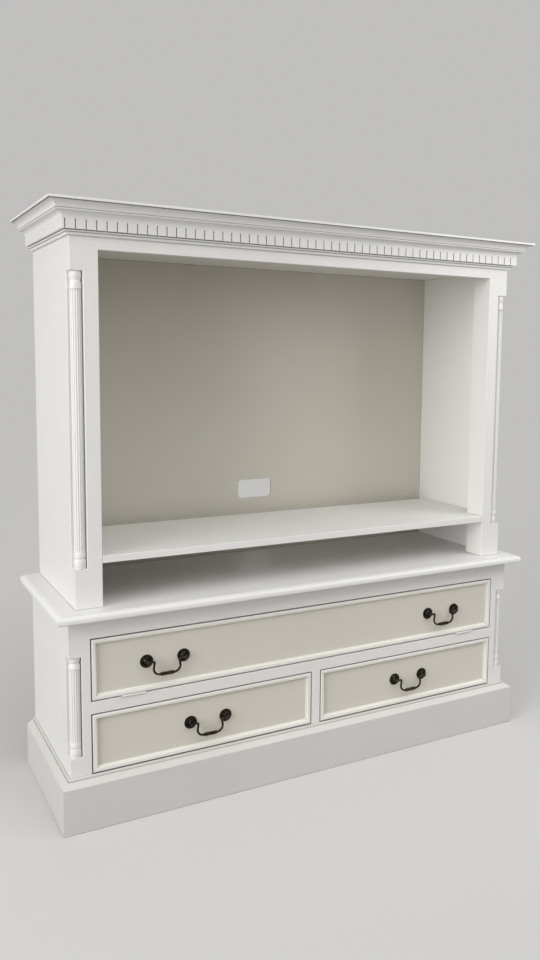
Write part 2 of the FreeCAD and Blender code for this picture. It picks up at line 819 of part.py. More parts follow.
def build():
    """Make every node."""
    os.makedirs("parts", exist_ok=True)

    left, middle, right = plinth_lengths()
    save("plinth_front", middle)
    save("plinth_sides", Part.makeCompound([left, right]))
    save("plinth_bearers", plinth_bearers())

    side = board(-half_base, -base_inner_x, 0, base_post_back, 0, counter_low)
    save("base_side_left", side)
    save("base_side_right", mirrored(side))
    save("base_posts", base_posts())
    save("base_columns", base_columns())
    save("base_rail_top", board(-half_base_opening, half_base_opening, frame_back, base_depth,
                                flap_opening_high, counter_low))
    save("base_rail_mid", board(-half_base_opening, half_base_opening, frame_back, base_depth,
                                drawer_opening_high, flap_opening_low))
    save("base_muntin", board(-half_muntin, half_muntin, frame_back, base_depth,
                              drawer_opening_low, drawer_opening_high))
    save("bottom_board", level_board(base_inner_x, half_base_opening, base_post_back, back_thickness,
                                     base_depth, drawer_opening_low - board_thickness,
                                     drawer_opening_low))
    save("compartment_floor", level_board(base_inner_x, half_base_opening, base_post_back,
                                          back_thickness, frame_back,
                                          flap_opening_low - board_thickness, flap_opening_low))
    save("drawer_partition", board(-board_thickness / 2, board_thickness / 2, back_thickness,
                                   frame_back, drawer_opening_low,
                                   flap_opening_low - board_thickness))
    save("base_back_panel", back_panel(base_inner_x, drawer_opening_low - board_thickness,
                                       counter_low, [cable_height_base]))
    save("counter_top", counter_top())
    save("runner_packers", runner_packers())
    save("drawer_runners", drawer_runners())

    side = board(-half_hutch, -hutch_inner_x, 0, hutch_post_back, counter_high, cover_low)
    save("hutch_side_left", side)
    save("hutch_side_right", mirrored(side))
    save("hutch_posts", hutch_posts())
    save("hutch_columns", hutch_columns())
    save("hutch_top_rail", board(-half_hutch_opening, half_hutch_opening, hutch_frame_back,
                                 hutch_depth, hutch_opening_high, cover_low))
    save("hutch_top_board", level_board(hutch_inner_x, half_hutch_opening, hutch_post_back,
                                        back_thickness, hutch_frame_back, hutch_opening_high + 25,
                                        hutch_opening_high + 25 + board_thickness))
    save("hutch_back_panel", back_panel(hutch_inner_x, counter_high, cover_low, cable_heights_hutch))
    save("cornice_cover_board", board(-half_hutch, half_hutch, 0, hutch_depth, cover_low,
                                      overall_height))
    save("tv_shelf", tv_shelf())
    save("shelf_cleats", both_sides(board(-hutch_inner_x, -hutch_inner_x + 20, 60, 340,
                                          shelf_low - 30, shelf_low)))
    save("cornice_crown", Part.makeCompound(list(crown_lengths())))
    save("cornice_dentils", Part.makeCompound(list(dentil_lengths())))
    save("cornice_bed_moulding", Part.makeCompound(list(bed_lengths())))

    save("flap_panel", flap_panel())
    save("flap_moulding", flap_moulding())
    save("flap_hinge_case_leaves", case_leaves())
    save("flap_hinge_flap_leaves", flap_leaves())
    save("flap_hinge_pins", hinge_pins())
    stay = flap_stay()
    save("flap_stay_left", stay)
    save("flap_stay_right", mirrored(stay))
    save("flap_stay_brackets", stay_brackets())
    save("stay_blocks", stay_blocks())
    save("stay_pegs", stay_pegs())
    save("flap_catches", flap_catches())
    save("flap_catch_plates", catch_plates())
    save("flap_handle_posts", Part.makeCompound(handle_posts(-flap_handle_x, flap_handle_z)
                                                + handle_posts(flap_handle_x, flap_handle_z)))
    flap_bail = bail(-flap_handle_x, flap_handle_z)
    save("flap_bail_left", flap_bail)
    save("flap_bail_right", mirrored(flap_bail))

    drawer_pieces = {
        "front": drawer_front(),
        "moulding": Part.makeCompound(bead_frame(*drawer_limits())),
        "sides": drawer_sides(),
        "back": drawer_back(),
        "bottom": drawer_bottom(),
        "handle_posts": Part.makeCompound(handle_posts(-drawer_centre_x, drawer_handle_z)),
        "bail": bail(-drawer_centre_x, drawer_handle_z),
    }
    for name, shape in drawer_pieces.items():
        save("drawer_left_" + name, shape)
        save("drawer_right_" + name, mirrored(shape))


build()
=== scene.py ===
import math

import bmesh
import bpy
from mathutils import Matrix, Vector


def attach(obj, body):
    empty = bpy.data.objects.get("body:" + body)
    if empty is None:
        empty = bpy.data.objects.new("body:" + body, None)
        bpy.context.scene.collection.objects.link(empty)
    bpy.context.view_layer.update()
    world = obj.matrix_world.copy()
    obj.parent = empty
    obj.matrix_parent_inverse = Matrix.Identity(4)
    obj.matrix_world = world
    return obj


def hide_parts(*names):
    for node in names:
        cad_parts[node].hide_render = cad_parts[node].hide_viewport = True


# Looks of the painted tv unit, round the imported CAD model. Shapes are written in millimetres in the
# CAD model's frame: +Z up, +X right as seen from the front, front towards -Y. A depth counts from the
# flat back to the front. "half" is half a width, and "low" and "high" are heights.

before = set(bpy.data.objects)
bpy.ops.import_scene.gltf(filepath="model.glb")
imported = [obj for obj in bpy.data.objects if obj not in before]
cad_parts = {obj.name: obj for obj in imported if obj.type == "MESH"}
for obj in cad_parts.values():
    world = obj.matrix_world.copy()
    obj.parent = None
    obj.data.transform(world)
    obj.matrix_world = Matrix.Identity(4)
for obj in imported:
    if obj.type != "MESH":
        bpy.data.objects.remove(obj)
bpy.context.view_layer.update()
scene = bpy.context.scene

MM = 0.001
overall_depth = 488.0
overall_height = 1600.0

# Base

base_half = 721.5
base_depth = 440.0
base_inner = 703.5
base_opening = 666.0
base_post_back = 395.0
base_frame_back = 418.0
drawer_low, drawer_high = 140.5, 302.5
flap_low, flap_high = 335.5, 503.5
muntin_half = 14.0
plinth_reach, plinth_top = 24.5, 141.0
plinth_shoulder = plinth_top - 20
counter_half = 755.0
counter_depth = 482.0
counter_low, counter_high = 558.5, 580.0

# Hutch and cornice

hutch_half = 699.0
hutch_depth = 428.0
hutch_inner = 679.0
hutch_opening = 628.0
hutch_post_back = 349.0
hutch_frame_back = 406.0
hutch_opening_high = 1486.5
cover_low = 1585.0
shelf_low, shelf_high = 695.0, 714.0
shelf_back = 46.0

bed_low, dentil_low, crown_low = 1516.5, 1530.5, 1556.0
bed_reach, dentil_reach, cornice_reach = 13.0, 20.0, 60.0
dentil_pitch = 25.5
slot_width, slot_depth, slot_height = 3.0, 4.0, 23.0
slot_left_end, slot_right_end = 7.0, 26.0

# Columns, in notches of the posts' outer corners. The four parts are the heights of a foot's bulb and
# ring and of a head's cup and drum. The flute turns are degrees from a flute's middle.

notch = 33.0
base_notch = (191.5, 458.5)
hutch_notch = (684.0, 1433.5)
base_column_parts = (21.5, 14, 14.5, 12)
hutch_column_parts = (24, 14.5, 20.5, 19.5)
column_radius = 15.7
column_let_in = 0.5
column_groove = 2.6
column_end = 2.0
shaft_radius = 14.5
neck_radius = shaft_radius - 1.4
flute_centre, flute_radius, flute_count = 14.9, 2.3, 16
flute_turns = (-8.95, -7.8, -5.8, -3.4, -1.15, 1.15, 3.4, 5.8, 7.8, 8.95, 11.25)
flute_end_steps = (0.0, 0.12, 0.45, 0.95, 1.55, flute_radius)
flute_rows = 12

# Fronts and their handles

face_depth = 432.0
panel_thickness = 18.0
bead_width = 14.5
bead_height = 9.0
front_gap = 3.0
flap_top_gap = 3.5
flap_handle = (463.5, 417.5)
drawer_handle = (340.0, 222.0)
handle_span = 52.0
handle_out = 16.0
rosette_radius = 18.0
rosette_sides = 40
post_radius, ball_radius = 3.7, 5.8
bead_ring, bead_radius, bead_count = rosette_radius - 4.1, 1.35, 30
bead_foot, bead_rise, bead_sides = 1.3, 1.5, 8
bead_latitudes = (5, 30, 55, 80)
bail_drop = 36.5
bail_corner = 17.0
bail_radius = 3.05
bail_bend = 4.0
bail_neck, bail_neck_turn = 14.0, 10
bail_end_out, bail_neck_in = 1, 13
collar_from, collar_to, collar_radius = 43.5, 46.6, 3.6
grip_swelling, grip_swelling_turn, grip_swelling_power, grip_swelling_end = 2.2, 0.62, 0.55, 3.0
grip_middle, grip_middle_radius = 4.2, 4.5
grip_ripple, grip_ripple_waves, grip_ripple_fade = 0.95, 3, 7
grip_steps = 30
bail_sides = 16

# Arrises: their widths, and the angle in degrees from which an edge is rounded

base_arris, hutch_arris, shelf_arris = 1.2, 1.4, 1.5
dentil_arris, front_arris, cleat_arris = 0.45, 0.8, 0.8
arris_angle = 30

# Finishes: colours, the gap in metres below which a crevice gets painted shade, how dark that painted
# shade gets, and the scale of the wood's texture along its grain, against 1 across it

WHITE = (0.80, 0.795, 0.775)
# The next colour is the white paint darkened as painted shade, for the plinth low down where less light
# falls.
WHITE_LOW_SHADE = (0.66, 0.652, 0.628)
CREAM = (0.83, 0.815, 0.765)
GREIGE = (0.67, 0.643, 0.568)
BACK = (0.60, 0.575, 0.50)
INNER = (0.74, 0.725, 0.69)
PLASTIC = (0.74, 0.73, 0.71)
WOOD_DARK = (0.42, 0.27, 0.145)
WOOD_LIGHT = (0.66, 0.49, 0.32)
BRONZE_DARK = (0.010, 0.008, 0.007)
BRONZE_LIGHT = (0.060, 0.048, 0.038)
STEEL_DARK = (0.50, 0.50, 0.50)
STEEL_LIGHT = (0.66, 0.66, 0.65)
crevice_shade_reach = 0.005
crevice_shade_dark = 0.12
grain_stretch = 0.06

# Camera and room

camera_place = (-1.2136, -2.3445, 1.2336)
camera_yaw, camera_pitch, camera_roll = 0.5249, -0.1070, 0.0138
camera_lens, camera_sensor = 32.21, 36
camera_shift = (-0.0606, -0.0333)
floor_radius, floor_sides, floor_drop = 14, 96, 0.0002
floor_pale, floor_giving = (0.66, 0.655, 0.65), (0.34, 0.33, 0.32)
room_light, room_strength = (1.0, 0.995, 0.985), 0.26
room_seen = (0.53, 0.525, 0.52)


def row_y(depth):
    """Y of the plane that lies depth in front of the back."""
    return overall_depth / 2 - depth


# Materials

def shader(name, roughness=0.5, metallic=0.0, specular=0.5):
    """A material, its node tree and its surface shader."""
    material = bpy.data.materials.new(name)
    material.use_nodes = True
    tree = material.node_tree
    surface = tree.nodes["Principled BSDF"]
    surface.inputs["Roughness"].default_value = roughness
    surface.inputs["Metallic"].default_value = metallic
    surface.inputs["Specular IOR Level"].default_value = specular
    return material, tree, surface


def grown(tree, scale, detail, stretch=(1, 1, 1), roughness=0.5, distortion=0.0):
    """Noise in object space, stretched by a mapping."""
    place = tree.nodes.new("ShaderNodeTexCoord")
    mapping = tree.nodes.new("ShaderNodeMapping")
    mapping.inputs["Scale"].default_value = stretch
    noise = tree.nodes.new("ShaderNodeTexNoise")
    noise.inputs["Scale"].default_value = scale
    noise.inputs["Detail"].default_value = detail
    noise.inputs["Roughness"].default_value = roughness
    noise.inputs["Distortion"].default_value = distortion
    tree.links.new(place.outputs["Object"], mapping.inputs["Vector"])
    tree.links.new(mapping.outputs["Vector"], noise.inputs["Vector"])
    return noise


def ramp(tree, source, stops, colour=True):
    """A ramp over a value, with stops of (place, colour) or, with colour=False, (place, grey)."""
    node = tree.nodes.new("ShaderNodeValToRGB")
    band = node.color_ramp
    while len(band.elements) < len(stops):
        band.elements.new(0.5)
    for element, (place, value) in zip(band.elements, stops):
        element.position = place
        element.color = (*value, 1) if colour else (value, value, value, 1)
    tree.links.new(source, node.inputs["Fac"])
    return node


def bumped(tree, surface, layers):
    """Chained bumps: (height output, strength, distance in metres)."""
    before = None
    for height, strength, distance in layers:
        bump = tree.nodes.new("ShaderNodeBump")
        bump.inputs["Strength"].default_value = strength
        bump.inputs["Distance"].default_value = distance
        tree.links.new(height, bump.inputs["Height"])
        if before:
            tree.links.new(before.outputs["Normal"], bump.inputs["Normal"])
        before = bump
    tree.links.new(before.outputs["Normal"], surface.inputs["Normal"])


def multiplied(tree, colour, shade, share):
    """The colour, multiplied by a shade to a share from 0 to 1."""
    mixed = tree.nodes.new("ShaderNodeMix")
    mixed.data_type = "RGBA"
    mixed.blend_type = "MULTIPLY"
    mixed.inputs["Factor"].default_value = share
    tree.links.new(colour, mixed.inputs["A"])
    tree.links.new(shade, mixed.inputs["B"])
    return mixed.outputs["Result"]


def crevices(tree, colour, reach):
    """The colour with painted shade: darkened where another surface stands closer than reach metres."""
    # Painted shade: ambient occlusion darkens the colour in gaps, grooves and inside corners, where
    # shade falls.
    near = tree.nodes.new("ShaderNodeAmbientOcclusion")
    near.samples = 8
    near.inputs["Distance"].default_value = reach
    shade = ramp(tree, near.outputs["AO"], [(0.28, crevice_shade_dark), (0.74, 1.0)], colour=False)
    return multiplied(tree, colour, shade.outputs["Color"], share=1.0)


def paint(name, colour, spread=0.018, along=(1, 1, 1), gloss=(0.34, 0.46), reach=crevice_shade_reach):
    """Satin paint: slow drift of tone, faint brush strokes, a fine skin and painted shade in crevices.
    """
    material, tree, surface = shader(name, specular=0.45)
    drift = grown(tree, scale=2.1, detail=3.0)
    light = tuple(min(1.0, c * (1 + spread)) for c in colour)
    dark = tuple(c * (1 - spread) for c in colour)
    tone = ramp(tree, drift.outputs["Fac"], [(0.3, dark), (0.7, light)])
    shaded = crevices(tree, tone.outputs["Color"], reach)
    tree.links.new(shaded, surface.inputs["Base Color"])
    strokes = grown(tree, scale=60.0, detail=4.0, stretch=along, roughness=0.6)
    skin = grown(tree, scale=620.0, detail=2.0)
    sheen = ramp(tree, strokes.outputs["Fac"], [(0.3, gloss[0]), (0.7, gloss[1])], colour=False)
    tree.links.new(sheen.outputs["Color"], surface.inputs["Roughness"])
    bumped(tree, surface, [(strokes.outputs["Fac"], 0.10, 0.0006),
                           (skin.outputs["Fac"], 0.10, 0.0002)])
    return material


def timber(name, dark, light, along):
    """Planed wood: growth bands and pores that run along one axis."""
    material, tree, surface = shader(name, specular=0.35)
    stretch = tuple(grain_stretch if axis == along else 1.0 for axis in "XYZ")
    bands = grown(tree, scale=19.8, detail=3.0, stretch=stretch, distortion=1.4)
    pores = grown(tree, scale=420.0, detail=3.0, stretch=stretch)
    middle = tuple((a + b) / 2 for a, b in zip(dark, light))
    tone = ramp(tree, bands.outputs["Fac"],
                [(0.28, dark), (0.46, middle), (0.56, light), (0.74, middle)])
    shade = ramp(tree, pores.outputs["Fac"], [(0.30, 0.78), (0.52, 1.0)], colour=False)
    shaded = multiplied(tree, tone.outputs["Color"], shade.outputs["Color"], share=0.55)
    tree.links.new(shaded, surface.inputs["Base Color"])
    bumped(tree, surface, [(pores.outputs["Fac"], 0.25, 0.0003)])
    return material


def metal(name, dark, light, rough, scale=140.0, strength=0.25):
    """Metal with a mottled finish: tone, roughness and small dents from noise."""
    material, tree, surface = shader(name, metallic=1.0)
    mottle = grown(tree, scale, detail=4.0, roughness=0.6)
    tone = ramp(tree, mottle.outputs["Fac"], [(0.38, dark), (0.68, light)])
    tree.links.new(tone.outputs["Color"], surface.inputs["Base Color"])
    gloss = ramp(tree, mottle.outputs["Fac"], [(0.3, rough[0]), (0.7, rough[1])], colour=False)
    tree.links.new(gloss.outputs["Color"], surface.inputs["Roughness"])
    dents = grown(tree, scale * 4, detail=2.0)
    bumped(tree, surface, [(dents.outputs["Fac"], strength, 0.0002)])
    return material


# Each white paint's reach sets how far its painted crevice shade spreads.
white_upright = paint("white_paint_upright", WHITE, along=(1, 1, 0.08), reach=0.0012)
white_level = paint("white_paint_level", WHITE, along=(0.08, 1, 1), reach=0.0035)
white_frame = paint("white_paint_frame", WHITE, along=(1, 1, 0.08), reach=0.0025)
# The plinth's paint: the white darkened as painted shade near the floor.
white_shaded_low = paint("white_paint_low_shade", WHITE_LOW_SHADE, spread=0.03, along=(0.08, 1, 1), gloss=(0.42, 0.56))
cream_level = paint("cream_paint", CREAM, along=(0.1, 1, 1), gloss=(0.30, 0.40))
greige_level = paint("greige_paint", GREIGE, spread=0.022, along=(0.06, 1, 1), gloss=(0.40, 0.52))
back_paint = paint("back_paint", BACK, spread=0.03, along=(1, 1, 0.2), gloss=(0.55, 0.68))
inner_paint = paint("inner_paint", INNER, spread=0.03, along=(0.15, 1, 1), gloss=(0.5, 0.62))
hinge_paint = paint("hinge_paint", WHITE, spread=0.01, gloss=(0.28, 0.36))
wood_x = timber("wood_along_x", WOOD_DARK, WOOD_LIGHT, "X")
wood_y = timber("wood_along_y", WOOD_DARK, WOOD_LIGHT, "Y")
bronze = metal("dark_bronze", BRONZE_DARK, BRONZE_LIGHT, rough=(0.14, 0.30))
steel = metal("bright_steel", STEEL_DARK, STEEL_LIGHT, rough=(0.26, 0.36), scale=60.0, strength=0.08)
plastic = paint("catch_plastic", PLASTIC, spread=0.01, gloss=(0.45, 0.5))


# Mesh helpers

def outline(start, moves, steps=6):
    """Points of a profile. A move of one point is straight, one of two is an arc through the first
    to the second."""
    points = [start]
    for move in moves:
        if len(move) == 1:
            points.append(move[0])
            continue
        a, b, c = (Vector(p) for p in (points[-1], move[0], move[1]))
        ab, ac = b - a, c - a
        cross = 2 * (ab.x * ac.y - ab.y * ac.x)
        centre = a + Vector(((ac.y * ab.length_squared - ab.y * ac.length_squared) / cross,
                             (ab.x * ac.length_squared - ac.x * ab.length_squared) / cross))
        first = math.atan2(a.y - centre.y, a.x - centre.x)
        sweep = math.atan2(c.y - centre.y, c.x - centre.x) - first
        if cross > 0:
            sweep %= 2 * math.pi
        else:
            sweep = -((-sweep) % (2 * math.pi))
        radius = (a - centre).length
        for step in range(1, steps + 1):
            angle = first + sweep * step / steps
            points.append((centre.x + radius * math.cos(angle), centre.y + radius * math.sin(angle)))
    return points


def turn(u, v, radius, from_angle, to_angle):
    """A move along the arc about (u, v) between two angles."""
    return tuple((u + radius * math.cos(math.radians(a)), v + radius * math.sin(math.radians(a)))
                 for a in ((from_angle + to_angle) / 2, to_angle))


def made(name, points, faces, material, body, nodes, slot, sharp=38, mirror=False):
    """A new piece from points in millimetres, riding on a body and standing for CAD nodes."""
    if mirror:
        points = [(-x, y, z) for x, y, z in points]
    mesh = bpy.data.meshes.new(name)
    mesh.from_pydata([Vector(p) * MM for p in points], [], faces)
    work = bmesh.new()
    work.from_mesh(mesh)
    bmesh.ops.remove_doubles(work, verts=work.verts, dist=1e-6)
    bmesh.ops.recalc_face_normals(work, faces=work.faces)
    work.to_mesh(mesh)
    work.free()
    mesh.shade_smooth()
    mesh.set_sharp_from_angle(angle=math.radians(sharp))
    mesh.materials.append(material)
    piece = bpy.data.objects.new(name, mesh)
    scene.collection.objects.link(piece)
    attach(piece, body)
    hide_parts(*nodes)
    return piece


def softened(piece, width, segments=2):
    """Rounds a piece's arrises to a width in millimetres."""
    bevel = piece.modifiers.new("arris", "BEVEL")
    bevel.width = width * MM
    bevel.segments = segments
    bevel.limit_method = "ANGLE"
    bevel.angle_limit = math.radians(arris_angle)
    bevel.harden_normals = True
    bevel.use_clamp_overlap = True


def weighted(piece):
    """Keeps flat faces flat beside small curved ones."""
    normals = piece.modifiers.new("flat_faces", "WEIGHTED_NORMAL")
    normals.keep_sharp = True
    normals.weight = 90


def cells(xs, depths, zs, solid):
    """Points and faces of the boundary of the solid cells of a grid."""
    places, points, faces = {}, [], []

    def corner(i, j, k):
        if (i, j, k) not in places:
            places[(i, j, k)] = len(points)
            points.append((xs[i], row_y(depths[j]), zs[k]))
        return places[(i, j, k)]

    def filled(i, j, k):
        inside = 0 <= i < len(xs) - 1 and 0 <= j < len(depths) - 1 and 0 <= k < len(zs) - 1
        return inside and solid((xs[i] + xs[i + 1]) / 2, (depths[j] + depths[j + 1]) / 2,
                                (zs[k] + zs[k + 1]) / 2)

    for i in range(len(xs) - 1):
        for j in range(len(depths) - 1):
            for k in range(len(zs) - 1):
                if not filled(i, j, k):
                    continue
                for axis in range(3):
                    for side in (0, 1):
                        there = [i, j, k]
                        there[axis] += 1 if side else -1
                        if filled(*there):
                            continue
                        base = [i, j, k]
                        base[axis] += side
                        a, b = [n for n in range(3) if n != axis]
                        ring = []
                        for da, db in ((0, 0), (1, 0), (1, 1), (0, 1)):
                            spot = list(base)
                            spot[a] += da
                            spot[b] += db
                            ring.append(corner(*spot))
                        faces.append(ring)
    return points, faces


def both(*values):
    """Sorted list of values and their mirror images."""
    return sorted({s * v for v in values for s in (-1, 1)})


def loops(rows, closed_rows=False, closed_ring=True, caps=False):
    """Faces between rows of equally many points; returns points and faces."""
    count = len(rows[0])
    points = [p for row in rows for p in row]
    faces = []
    last = len(rows) if closed_rows else len(rows) - 1
    for r in range(last):
        low, high = r * count, ((r + 1) % len(rows)) * count
        for n in range(count if closed_ring else count - 1):
            m = (n + 1) % count
            faces.append((low + n, low + m, high + m, high + n))
    if caps:
        faces.append(tuple(range(count)))
        faces.append(tuple(range((len(rows) - 1) * count, len(rows) * count)))
    return points, faces


def wrapped(profile, half, depth):
    """A profile of (outward, height) carried round the left side, front and right side."""
    rows = [
        [(-half - p, row_y(0), z) for p, z in profile],
        [(-half - p, row_y(depth + p), z) for p, z in profile],
        [(half + p, row_y(depth + p), z) for p, z in profile],
        [(half + p, row_y(0), z) for p, z in profile],
    ]
    return loops(rows, caps=True)


def lathed(profile, place, segments):
    """A profile of (radius, along) turned about an axis; place turns (radius, angle, along) into
    a point."""
    rows = [[place(max(r, 0.0), 2 * math.pi * n / segments, v) for n in range(segments)]
            for r, v in profile]
    return loops(rows, caps=True)


def joined(*parts):
    """Several sets of points and faces as one."""
    points, faces = [], []
    for more_points, more_faces in parts:
        shift = len(points)
        points += list(more_points)
        faces += [tuple(v + shift for v in face) for face in more_faces]
    return points, faces


# Base and hutch carcasses: seamless paint over the posts, rails and sides

def in_notch(x, depth, z, half, front, heights):
    """Whether a point lies in the column's notch of either post."""
    return abs(x) > half - notch and depth > front - notch and heights[0] < z < heights[1]


def base_solid(x, depth, z):
    """Whether a point lies in the base's sides, posts, rails or muntin."""
    side = abs(x) > base_inner and depth < base_post_back
    post = abs(x) > base_opening and depth > base_post_back
    rail_height = z > flap_high or drawer_high < z < flap_low
    rail = abs(x) < base_opening and depth > base_frame_back and rail_height
    muntin = abs(x) < muntin_half and depth > base_frame_back and drawer_low < z < drawer_high
    solid = side or post or rail or muntin
    return solid and not in_notch(x, depth, z, base_half, base_depth, base_notch)


def hutch_solid(x, depth, z):
    """Whether a point lies in the hutch's sides, posts or top rail."""
    side = abs(x) > hutch_inner and depth < hutch_post_back
    post = abs(x) > hutch_opening and depth > hutch_post_back
    rail = abs(x) < hutch_opening and depth > hutch_frame_back and z > hutch_opening_high
    solid = side or post or rail
    return solid and not in_notch(x, depth, z, hutch_half, hutch_depth, hutch_notch)


shell = cells(both(base_half, base_inner, base_half - notch, base_opening, muntin_half),
              [0, base_post_back, base_depth - notch, base_frame_back, base_depth],
              [0, drawer_low, base_notch[0], drawer_high, flap_low, base_notch[1], flap_high,
               counter_low], base_solid)
piece = made("base_carcass", *shell, white_frame, "case",
             ["base_side_left", "base_side_right", "base_posts", "base_rail_top", "base_rail_mid",
              "base_muntin"], "white_paint")
softened(piece, base_arris, segments=3)

shell = cells(both(hutch_half, hutch_inner, hutch_half - notch, hutch_opening),
              [0, hutch_post_back, hutch_depth - notch, hutch_frame_back, hutch_depth],
              [counter_high, hutch_notch[0], hutch_notch[1], hutch_opening_high, cover_low],
              hutch_solid)
piece = made("hutch_carcass", *shell, white_upright, "case",
             ["hutch_side_left", "hutch_side_right", "hutch_posts", "hutch_top_rail"], "white_paint")
softened(piece, hutch_arris, segments=3)


def shelf_solid(x, depth, z):
    """The shelf's front corners step round the posts."""
    return abs(x) < hutch_opening or depth < hutch_post_back


shell = cells(both(hutch_inner, hutch_opening), [shelf_back, hutch_post_back, hutch_depth],
              [shelf_low, shelf_high], shelf_solid)
softened(made("tv_shelf_board", *shell, white_level, "case", ["tv_shelf"], "white_paint"),
         shelf_arris, segments=3)


# Mouldings that wrap the front and both sides

def moulding(name, start, moves, half, depth, nodes, steps=7, finish=white_level):
    """A moulding of (reach outwards, height) round a carcass of the given half width and depth."""
    profile = outline(start, moves, steps)
    weighted(made(name, *wrapped(profile, half, depth), finish, "case", nodes, "white_paint",
                  sharp=32))


shoulder = plinth_shoulder
moulding("plinth_boards", (0, 0), [
    ((plinth_reach - 0.8, 0),),
    ((plinth_reach, 0.8),),
    ((plinth_reach, shoulder),),
    turn(plinth_reach - 3.5, shoulder, 3.5, 0, 65),
    ((17, shoulder + 7.0), (12.0, shoulder + 11.2)),
    ((9.4, shoulder + 13.2), (7.6, shoulder + 13.8)),
    ((6.5, shoulder + 13.4),),
    ((6.4, shoulder + 16.8),),
    ((6.2, shoulder + 18.6), (4.4, shoulder + 19.3)),
    ((1.9, plinth_top),),
    ((0, plinth_top),),
], base_half, base_depth, ("plinth_front", "plinth_sides"), finish=white_shaded_low)

top = overall_height
reach = cornice_reach
moulding("crown_moulding", (0, crown_low), [
    ((dentil_reach, crown_low),),
    ((22.5, crown_low + 9.5), (31, crown_low + 15.5)),
    ((34.3, crown_low + 15.5),),
    turn(35.6, crown_low + 17.6, 2.7, -100, 62),
    ((38.6, crown_low + 20.6),),
    ((44, crown_low + 31.8), (reach - 3.4, crown_low + 36.2)),
    ((reach - 5.4, crown_low + 36.4),),
    ((reach - 5.4, crown_low + 38),),
    ((reach - 0.5, crown_low + 38),),
    ((reach, crown_low + 38.5),),
    ((reach, top - 1.5),),
    turn(reach - 1.5, top - 1.5, 1.5, 0, 90),
    ((0, top),),
], hutch_half, hutch_depth, ("cornice_crown",))

reach = bed_reach
moulding("bed_moulding", (0, bed_low), [
    ((reach - 9.5, bed_low),),
    ((reach - 9.5, bed_low + 1.2),),
    ((reach - 7, bed_low + 1.2),),
    ((reach - 6.5, bed_low + 1.7),),
    ((reach - 6.2, bed_low + 5.2), (reach - 4, bed_low + 7.4)),
    ((reach - 5, bed_low + 7.6),),
    ((reach - 5, bed_low + 8.6),),
    ((reach - 2, bed_low + 8.6),),
    ((reach - 1.5, bed_low + 9.1),),
    ((reach - 1.2, bed_low + 12.4),),
    ((reach - 4, bed_low + 12.6),),
    ((reach - 4, dentil_low),),
    ((0, dentil_low),),
], hutch_half, hutch_depth, ("cornice_bed_moulding",), steps=5)

band_x, band_depth = hutch_half + dentil_reach, hutch_depth + dentil_reach


def slot_places(first, last):
    """Even places from first to last, about a dentil's pitch apart."""
    count = round(abs(last - first) / dentil_pitch)
    return [first + (last - first) * step / count for step in range(count + 1)]


front_slots = slot_places(-band_x + slot_left_end, band_x - slot_right_end)
side_slots = slot_places(band_depth - slot_right_end, dentil_pitch / 2)


def band_solid(x, depth, z):
    """Whether a point lies in the dentil band, outside its slots."""
    if abs(x) < hutch_half and depth < hutch_depth:
        return False
    if z > dentil_low + slot_height:
        return True
    if depth > band_depth - slot_depth and any(abs(x - s) < slot_width / 2 for s in front_slots):
        return False
    in_side_slot = any(abs(depth - s) < slot_width / 2 for s in side_slots)
    return not (abs(x) > band_x - slot_depth and in_side_slot)


xs = {s + d for s in front_slots for d in (-slot_width / 2, slot_width / 2)}
xs |= {side * v for side in (-1, 1) for v in (hutch_half, band_x - slot_depth, band_x)}
depths = {s + d for s in side_slots for d in (-slot_width / 2, slot_width / 2)}
depths |= {0, hutch_depth, band_depth - slot_depth, band_depth}
shell = cells(sorted(xs), sorted(depths), [dentil_low, dentil_low + slot_height, crown_low],
              band_solid)
softened(made("dentil_band", *shell, white_level, "case", ["cornice_dentils"], "white_paint"),
         dentil_arris)


# Counter

def edged_board(profile, half, depth):
    """A board whose front and sides carry a profile of (inset from the limit, height)."""
    rows = [
        [(-half + u, row_y(0), z) for u, z in profile],
        [(-half + u, row_y(depth - u), z) for u, z in profile],
        [(half - u, row_y(depth - u), z) for u, z in profile],
        [(half - u, row_y(0), z) for u, z in profile],
    ]
    points, faces = loops(rows, closed_ring=False)
    count = len(profile)
    faces.append(tuple(r * count for r in range(4)))
    faces.append(tuple(r * count + count - 1 for r in range(4)))
    faces.append(tuple(range(count)) + tuple(3 * count + n for n in reversed(range(count))))
    return points, faces


low = counter_low
nose = outline((16, low), [
    ((4, low),),
    turn(4, low + 4, 4, -90, -180),
    ((0, low + 8.9),),
    turn(11, low + 8.9, 11, 180, 90),
    ((12.0, low + 19.9),),
    ((12.4, low + 20.2),),
    ((12.4, counter_high - 0.5),),
    ((12.9, counter_high),),
    ((40, counter_high),),
], steps=8)
weighted(made("counter_board", *edged_board(nose, counter_half, counter_depth), white_level, "case",
              ["counter_top"], "white_paint", sharp=34))


# Turned and fluted columns

def flute_cut(radius, offset, from_end):
    """Radius of the shaft at an angle from a flute's middle and a height from the flute's end."""
    if from_end <= 0:
        return radius
    short = max(0.0, flute_radius - from_end)
    width = math.sqrt(flute_radius ** 2 - short ** 2)
    sideways = flute_centre * math.sin(offset)
    if width <= abs(sideways):
        return radius
    return min(radius, flute_centre * math.cos(offset) - math.sqrt(width ** 2 - sideways ** 2))


